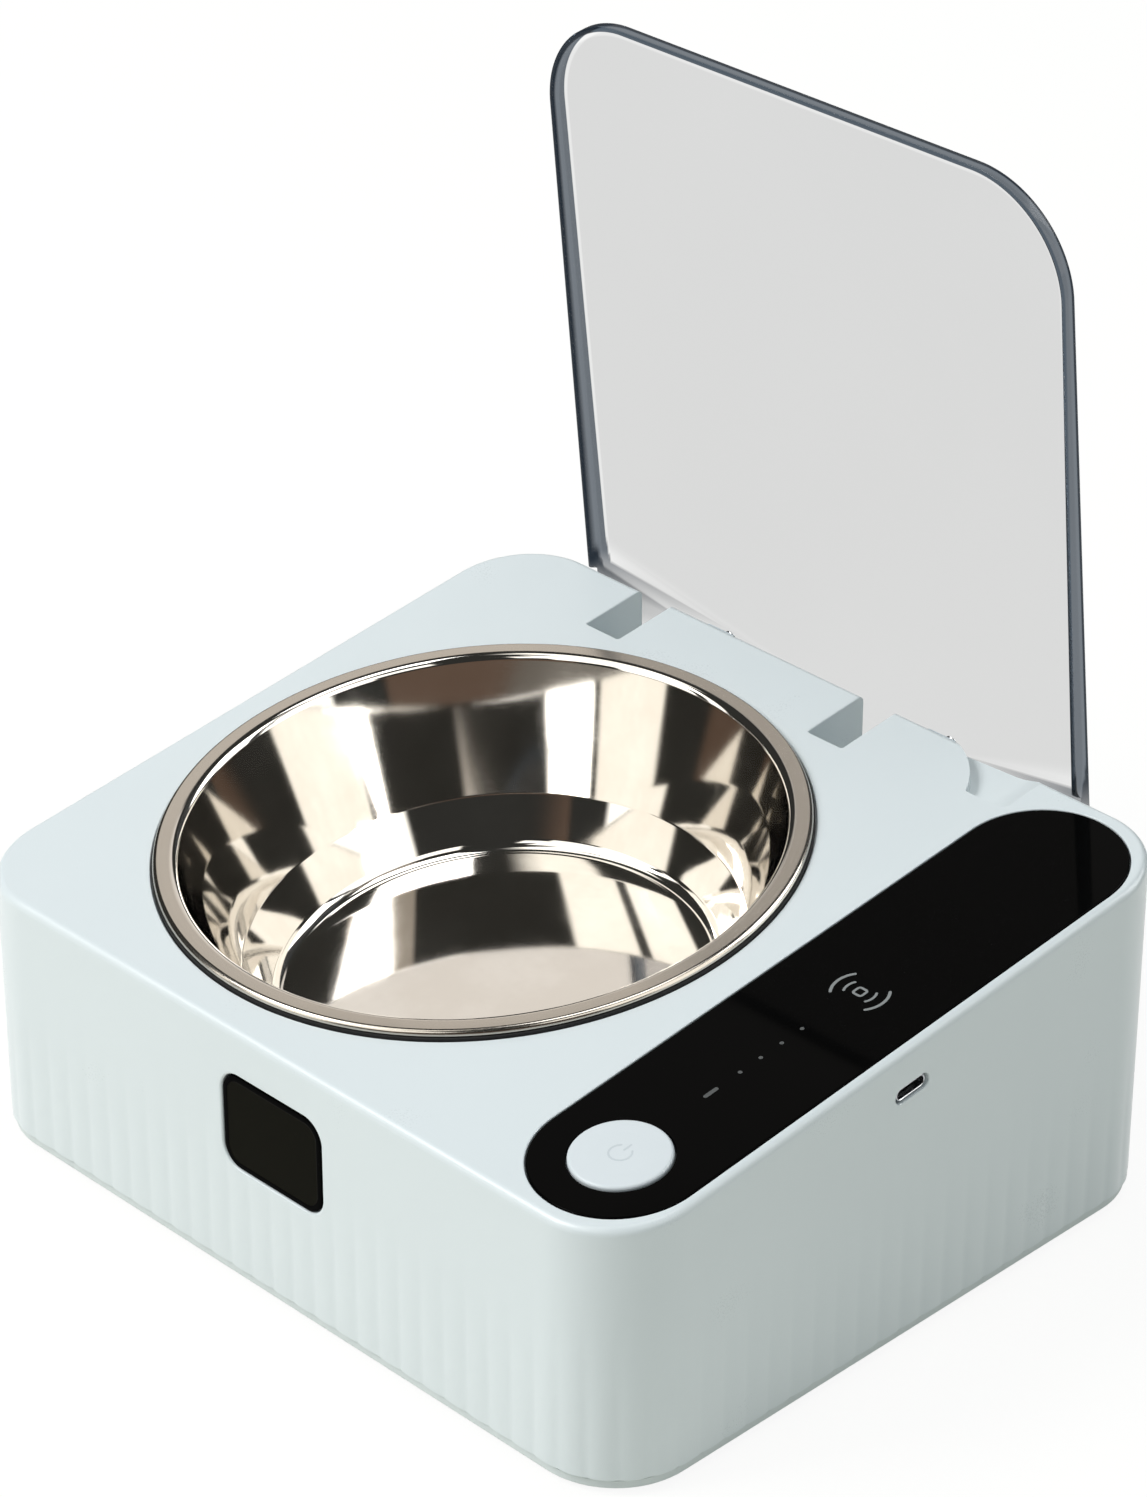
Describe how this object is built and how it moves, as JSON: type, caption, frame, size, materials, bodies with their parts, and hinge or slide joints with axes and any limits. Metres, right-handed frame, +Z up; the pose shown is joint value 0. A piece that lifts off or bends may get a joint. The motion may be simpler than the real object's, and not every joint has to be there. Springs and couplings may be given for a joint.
{
  "type": "sensor lid pet bowl",
  "caption": "Wedge-shaped pet bowl stand with a lift-out steel bowl, a glossy control strip with a push button, and a motor-driven clear lid that swings up from the rear.",
  "frame": {"origin": "on the floor under the middle of the whole outline, with the lid fully open", "axes": "+X to the right, the control strip's side; +Y to the rear, where the lid is hinged; +Z up"},
  "size_m": [0.21, 0.2038, 0.226],
  "materials": {
    "white_shell": "satin moulded",
    "base_shell": "fine matt moulded",
    "polished_steel": "mirror polished stainless steel",
    "rubber": "matt",
    "black_strip": "high gloss",
    "button": "satin moulded",
    "sensor_window": "dark tinted gloss",
    "clear_lid": "clear, lightly smoked",
    "hinge_plastic": "satin moulded",
    "plated_steel": "nickel plated",
    "brass": "turned",
    "gear_plastic": "natural moulded",
    "lead_sleeve": "soft sleeve",
    "dark_plastic": "moulded",
    "circuit_board": "solder mask",
    "clear_lamp": "clear moulded",
    "cell_sleeve": "heat-shrink sleeve"
  },
  "bodies": {
    "base": {"upper_housing": "white_shell", "base_cover": "base_shell", "rubber_foot_1": "rubber", "rubber_foot_2": "rubber", "rubber_foot_3": "rubber", "rubber_foot_4": "rubber", "base_screw_1": "plated_steel", "base_screw_2": "plated_steel", "base_screw_3": "plated_steel", "base_screw_4": "plated_steel", "sensor_window": "sensor_window", "sensor_board": "circuit_board", "infrared_emitter": "clear_lamp", "infrared_receiver": "dark_plastic", "cell_holder": "dark_plastic", "battery_cell": "cell_sleeve", "motor_lead": "lead_sleeve", "cell_lead": "lead_sleeve", "sensor_lead": "lead_sleeve", "bowl_seal": "rubber", "control_panel": "black_strip", "switch_body": "dark_plastic", "main_board": "circuit_board", "board_screw_1": "plated_steel", "board_screw_2": "plated_steel", "light_guide": "clear_lamp", "indicator_led_1": "clear_lamp", "indicator_led_2": "clear_lamp", "indicator_led_3": "clear_lamp", "indicator_led_4": "clear_lamp", "indicator_led_5": "clear_lamp", "buzzer": "dark_plastic", "usb_shell": "plated_steel", "usb_tongue": "dark_plastic", "hinge_bush_1": "brass", "hinge_bush_2": "brass", "hinge_bush_3": "brass", "hinge_bush_4": "brass", "hinge_bush_5": "brass", "hinge_bush_6": "brass", "gearbox": "brass", "motor_can": "plated_steel", "motor_screw_1": "plated_steel", "motor_screw_2": "plated_steel"},
    "lid": {"lid_panel": "clear_lid", "hinge_arm_1": "hinge_plastic", "hinge_arm_2": "hinge_plastic", "arm_screw_1": "plated_steel", "arm_screw_2": "plated_steel", "arm_screw_3": "plated_steel", "arm_screw_4": "plated_steel", "hinge_shaft": "plated_steel", "sector_gear": "gear_plastic"},
    "drive": {"drive_pinion": "brass", "output_shaft": "plated_steel"},
    "bowl": {"food_bowl": "polished_steel"},
    "button": {"power_button": "button", "switch_plunger": "dark_plastic"}
  },
  "joints": [
    {"name": "lid_hinge", "type": "hinge", "parent": "base", "child": "lid", "pos_m": [0, 0.06774, 0.05896], "axis": [1, 0, 0], "range_deg": [0, 90]},
    {"name": "drive_shaft", "type": "hinge", "parent": "base", "child": "drive", "pos_m": [0, 0.04548, 0.05639], "axis": [1, 0, 0], "range_deg": [-270, 0]},
    {"name": "bowl_lift", "type": "slide", "parent": "base", "child": "bowl", "axis": [0, 0.1151, -0.9934], "range_m": [-0.05, 0]},
    {"name": "button_press", "type": "slide", "parent": "base", "child": "button", "axis": [0, 0.1151, -0.9934], "range_m": [0, 0.001], "stiffness_N_per_m": 600, "springref_m": -0.001}
  ],
  "couplings": [
    {"joint": "drive_shaft", "follows": "lid_hinge", "ratio": -3}
  ]
}
